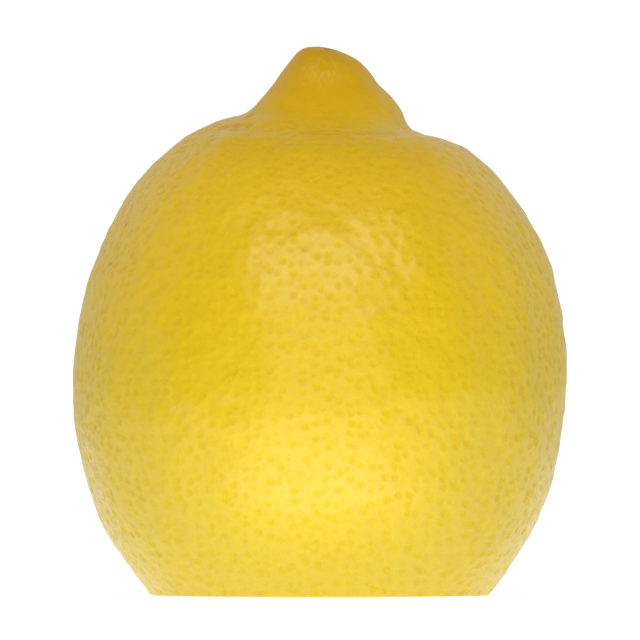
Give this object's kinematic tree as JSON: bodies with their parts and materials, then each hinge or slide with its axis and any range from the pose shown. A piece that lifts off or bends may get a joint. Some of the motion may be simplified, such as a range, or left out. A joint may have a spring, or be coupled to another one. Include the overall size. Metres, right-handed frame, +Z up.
{
  "type": "lemon",
  "caption": "Yellow lemon with a blunt nipple at the top, its stem end sliced off straight so that it stands upright on the flat cut face.",
  "frame": {"origin": "centre of the object's footprint, on the flat cut face that it stands on", "axes": "+Z up, from the cut face through the lemon to the tip of its nipple; -Y is the side that faces the viewer; +X is to the viewer's right, where the notch at the foot of the nipple is sharpest"},
  "size_m": [0.0622, 0.0622, 0.0691],
  "materials": {
    "rind": "pitted, waxy lemon rind with a soft satin sheen"
  },
  "bodies": {
    "root": {"lemon": "rind"}
  },
  "joints": []
}
